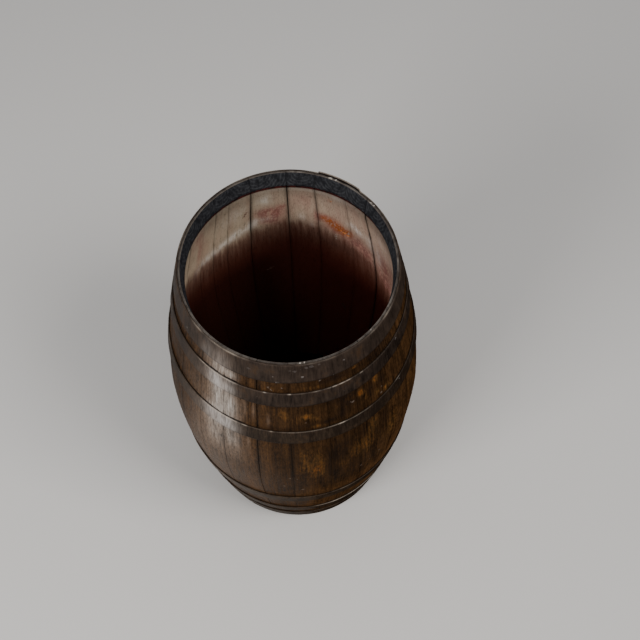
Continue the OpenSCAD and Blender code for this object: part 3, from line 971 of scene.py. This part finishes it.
# Rubbed bare spots on the hoops: direction, height, size in mm
bare_spots = (
    (-83.8, 555.5, 2.4), (-96.5, 545, 1.4), (-98.1, 556, 1.6), (-29.4, 515, 2), (-32.1, 423, 1.8),
    (-62.2, 565.4, 1.8), (-166, 542, 2), (20, 560, 2.2), (75, 505, 2), (150, 415, 2.4), (60, 165, 2),
    (-150, 553, 1.6),
)
# Faint scuffs, likewise
scuffs = (
    (-87.4, 568, 2.6), (-78.9, 573.5, 3.4), (-81.5, 572.5, 2.6), (-89.5, 569, 1.8), (-75, 574, 2),
    (-95.6, 545, 2.4), (-110, 563, 2.4),
)
# Stretches of the top edges that are rubbed brightest: by height, each direction, spread and strength
bright_edges = {
    578.5: (
        (-142, 5, 0.6), (-129, 4, 0.7), (-122, 3, 0.5), (-118.5, 2.5, 0.7), (-113, 3, 0.35), (-80, 5, 0.3),
        (-70, 5, 0.3), (-43, 4, 0.4), (-30, 6, 0.6), (30, 8, 0.5), (50, 8, 0.8), (64, 8, 1), (76, 5, 0.7),
        (100, 7, 0.5), (118, 8, 0.6), (165, 9, 0.5),
    ),
    519.5: (
        (-134, 5, 0.8), (-127, 4, 0.8), (-122, 3, 1), (-117, 2, 0.4), (-102, 0.8, 1), (-90.4, 0.8, 0.8),
        (-84, 4, 0.2), (-77.5, 1.8, 0.4), (-72, 2, 0.3), (-68.7, 1.2, 1), (-65, 1.6, 0.8),
        (-61.5, 1.6, 0.6), (-54.2, 0.8, 0.8), (130, 12, 0.5),
    ),
    429.5: (
        (-128, 6, 1), (-120, 4, 0.9), (-112, 1.2, 0.9), (-106, 4, 0.15), (-99.5, 1, 0.5), (-92, 5, 0.3),
        (-84, 5, 0.25), (-78, 3, 0.3), (-72, 2.2, 0.5), (-67, 2.2, 1), (-60, 4, 0.35), (-54, 3, 0.2),
        (-33, 2, 0.6), (60, 14, 0.4), (-170, 9, 0.3),
    ),
    178.5: ((-65, 5, 0.3), (-52, 8, 0.2), (90, 20, 0.3)),
    88.5: ((-77, 4, 0.5), (-69, 5, 1.0), (-60, 5, 1.0), (-51, 6, 1.0), (-42, 6, 0.6), (40, 16, 0.3)),
}
bright_edge_places = [
    (at, up, wide, 4, strength) for up, row in bright_edges.items() for at, wide, strength in row
]


def hoop_surface(z):
    return outer_radius(z) + 2 * hoop_fit + hoop_thickness


def hoop_iron(name):
    iron = Finish(name, grain="strip")
    edge, under, tone = iron.painted("iron")
    painted_sheen, bright, satin = iron.painted("rubbing_and_sheen")
    glare, brown = iron.painted("glare")[:2]
    brushed = iron.fibre(0.12, 330, 4, 0.65)
    patch = iron.fibre(0.6, 60, 5, 0.65)
    pits = iron.fibre(1, 700, 3, 0.6)
    fine = iron.fibre(0.05, 1100, 3, 0.6)
    light = (brushed - 0.5) * 1.2 + (patch - 0.5) * 1.2
    light = (light + ((fine - 0.5) * 0.8 + tone)).held()
    colour = iron.blend(light, (0.0075, 0.0052, 0.0044), (0.046, 0.032, 0.0245))
    colour = colour.laid(brown * 0.75, iron.blend(light, (0.018, 0.0115, 0.0075), (0.072, 0.048, 0.03)))
    colour = colour.laid((patch * 0.7 + pits * 0.3).ease(0.53, 0.66) * 0.5, (0.048, 0.024, 0.01))
    drawn = brushed * 0.5 + fine * 0.5
    # Painted sheen and painted highlight, as on the wood
    painted_sheen_amount = painted_sheen * drawn.ease(0.36, 0.6, 0.3, 1.0)
    colour = colour.laid(painted_sheen_amount * 0.95, (0.248, 0.184, 0.142))
    # Painted highlight, nearly white
    colour = colour.laid(glare * drawn.ease(0.4, 0.58, 0.45, 1.0) * 0.85, (0.375, 0.348, 0.328))
    colour = colour.laid(iron.spots(scuffs, hoop_surface) * 0.22, (0.16, 0.14, 0.13))
    rubbed = edge * (pits * 0.5 + patch * 0.5).ease(0.42, 0.58, 0.45, 1.0) * bright.ease(0.0, 1.0, 0.06, 1.0)
    # Rubbed top edges, then painted shade on the strip's lower edge and on its face against the wood
    colour = colour.laid(rubbed, (0.33, 0.28, 0.23)).laid(under * 0.8, (0.0045, 0.0035, 0.003))
    flecks = iron.fibre(1, 330, 1, 0.5).ease(0.79, 0.81)
    bare = (flecks * 0.4 + iron.spots(bare_spots, hoop_surface)).held()
    colour = colour.laid(bare * 0.42, (0.24, 0.215, 0.2))
    specular = satin * 0.02 + painted_sheen_amount * 0.13
    return iron.done(colour, specular, brushed.ease(0.2, 0.8, 0.36, 0.52), pits * 0.6 + brushed * 0.5, 0.25)


iron_finish = hoop_iron("hoop_iron")


def hoop_lift(low, high):
    ends = (outer_radius(low) + outer_radius(high)) / 2
    return max(0.0, outer_radius((low + high) / 2) - ends) + hoop_fit


def hoop_face(k):
    """Radii of the hoop's inner face at its lower and upper edge."""
    low, high = hoop_heights[k]
    lift = hoop_lift(low, high)
    return outer_radius(low) + lift, outer_radius(high) + lift


def make_hoop(k):
    name = hoop_names[k] + "_hoop"
    low, high = hoop_heights[k]
    low_r, high_r = hoop_face(k)
    middle_r = (low_r + high_r) / 2
    turn = math.degrees(1 / middle_r)
    inner_end = lap_direction - turn * lap_length / 2
    outer_end = lap_direction + turn * lap_length / 2 + 360
    way = np.linspace(inner_end, outer_end, hoop_points)[:, None]
    lifted = smooth_step(way, inner_end + 360 - turn * step_length, inner_end + 360)
    n = len(section)
    place = np.broadcast_to(way, (hoop_points, n))
    up, thick, edge, under = (np.broadcast_to(s, (hoop_points, n)) for s in np.array(section).T)
    angle = np.radians(place)
    dent = 0.5 + 0.5 * soft_noise(np.cos(angle) * 14, np.sin(angle) * 14, up * 1.5 + k * 5.0, 8)
    dent = dent_depth * dent * (thick > 0.5)
    ragged = soft_noise(np.cos(angle) * 18, np.sin(angle) * 18, k * 3.0, 9)
    ragged = edge_waver * ragged * np.abs(2 * up - 1) ** 3
    z = np.clip(low + (high - low) * up - (1.4 * ragged + 0.2) * (up - 0.5), low, high)
    radius = low_r + (high_r - low_r) * up + hoop_thickness * thick - dent
    radius = radius + lifted * (hoop_thickness + lap_fit)
    points = np.stack([radius * np.cos(angle), radius * np.sin(angle), z], axis=-1).reshape(-1, 3) * mm
    faces = list(ring_quads(hoop_points, n))
    faces.append(tuple(range(n)))
    faces.append(tuple(range(hoop_points * n - 1, (hoop_points - 1) * n - 1, -1)))
    mesh = skin(name, points, faces, iron_finish, flat=2)
    at_end = (way == way[0]) | (way == way[1]) | (way == way[-2]) | (way == way[-1])
    edge = np.where(at_end, 0.9, edge)
    if k == 0:
        # The rim's own hoop has a duller, evener top edge, with painted shade where its own lap covers it
        covered = way < inner_end + turn * lap_length
        edge = np.where(up > 0.98, np.where(covered, 0.0, 0.55), edge)
        under = np.where((up > 0.98) & (thick > 0.05), 0.0, under)
        under = np.where((up > 0.98) & covered, 1.0, under)
    at = half_turn(place)
    # Painted shade darkens the hoop on its right side
    tone = hoop_tones[k] - hoop_right_shade[k] * smooth_step(at, -80, -50) * smooth_step(-at, -60, -5)
    carry(mesh, "iron", edge, under, tone)
    bright = spots(bright_edge_places, place, z)
    carry(mesh, "rubbing_and_sheen", spots(painted_sheen_places, place, z), bright, sheen(place, z))
    carry(mesh, "glare", spots(glare_places, place, z), hoop_browns[k], 0)
    carry(mesh, "strip", angle * middle_r * mm + k * 3.1, thick * hoop_thickness * mm, z * mm)
    piece = in_scene(name + "_iron", mesh)
    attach(piece, "root")
    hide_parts(name)


for k in range(len(hoop_names)):
    make_hoop(k)

# Rivets. Two soft iron rivets hold the lap of each hoop. Their heads were set by hammer, so each
# is a low dome with flats on it.
rivet_diameter = 5.0
rivet_head_diameter = 10.0
rivet_head_height = 2.4
rivet_pitch = 30.0
rivet_fit = 0.05
rivet_points_round = 32
rivet_finish = hoop_iron("rivet_iron")


def make_rivets(k):
    name = hoop_names[k] + "_rivets"
    low, high = hoop_heights[k]
    low_r, high_r = hoop_face(k)
    middle_r = (low_r + high_r) / 2
    slope = math.atan2(low_r - high_r, high - low)
    shank = rivet_diameter / 2
    head = rivet_head_diameter / 2
    seat = 2 * hoop_thickness + lap_fit + head ** 2 / (2 * middle_r) + rivet_fit
    profile = [(0.0, 0.0), (shank, 0.0), (shank, seat), (head * 0.93, seat), (head, seat + 0.25)]
    for t in np.linspace(0.12, 1.0, 8) * math.pi / 2:
        profile.append((head * math.cos(t), seat + 0.25 + (rivet_head_height - 0.3) * math.sin(t)))
    points = []
    faces = []
    marks = []
    for side in (-1, 1):
        turn = math.radians(lap_direction + side * math.degrees(rivet_pitch / 2 / middle_r))
        out = Vector((math.cos(turn) * math.cos(slope), math.sin(turn) * math.cos(slope), math.sin(slope)))
        round_way = Vector((-math.sin(turn), math.cos(turn), 0))
        up_way = out.cross(round_way)
        centre = Vector((middle_r * math.cos(turn), middle_r * math.sin(turn), (low + high) / 2))
        start = len(points)
        for ring, (r, h) in enumerate(profile):
            for c in range(rivet_points_round):
                a = 2 * math.pi * c / rivet_points_round
                knock = float(soft_noise(math.cos(a) * 1.3 + side * 5, math.sin(a) * 1.3, k + h * 0.4, 10))
                rr = r * (1 - 0.04 * (1 + knock) * (ring > 2))
                hh = h - 0.16 * (1 + knock) * (ring > 5)
                sideways = round_way * (rr * math.cos(a)) + up_way * (rr * math.sin(a))
                points.append(tuple((centre + out * hh + sideways) * mm))
                marks.append((0.45 if ring in (3, 4) else 0.25 * (ring > 6), 0.0, 0.5))
        for quad in ring_quads(len(profile), rivet_points_round):
            faces.append(tuple(start + v for v in quad[::-1]))
    points = np.array(points)
    mesh = skin(name, points, faces, rivet_finish)
    carry(mesh, "iron", *np.array(marks).T)
    carry(mesh, "rubbing_and_sheen", np.zeros(len(points)), 0.6, 0.6)
    carry(mesh, "strip", *points.T)
    piece = in_scene(name + "_iron", mesh)
    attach(piece, "root")
    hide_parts(name)


for k in range(len(hoop_names)):
    make_rivets(k)
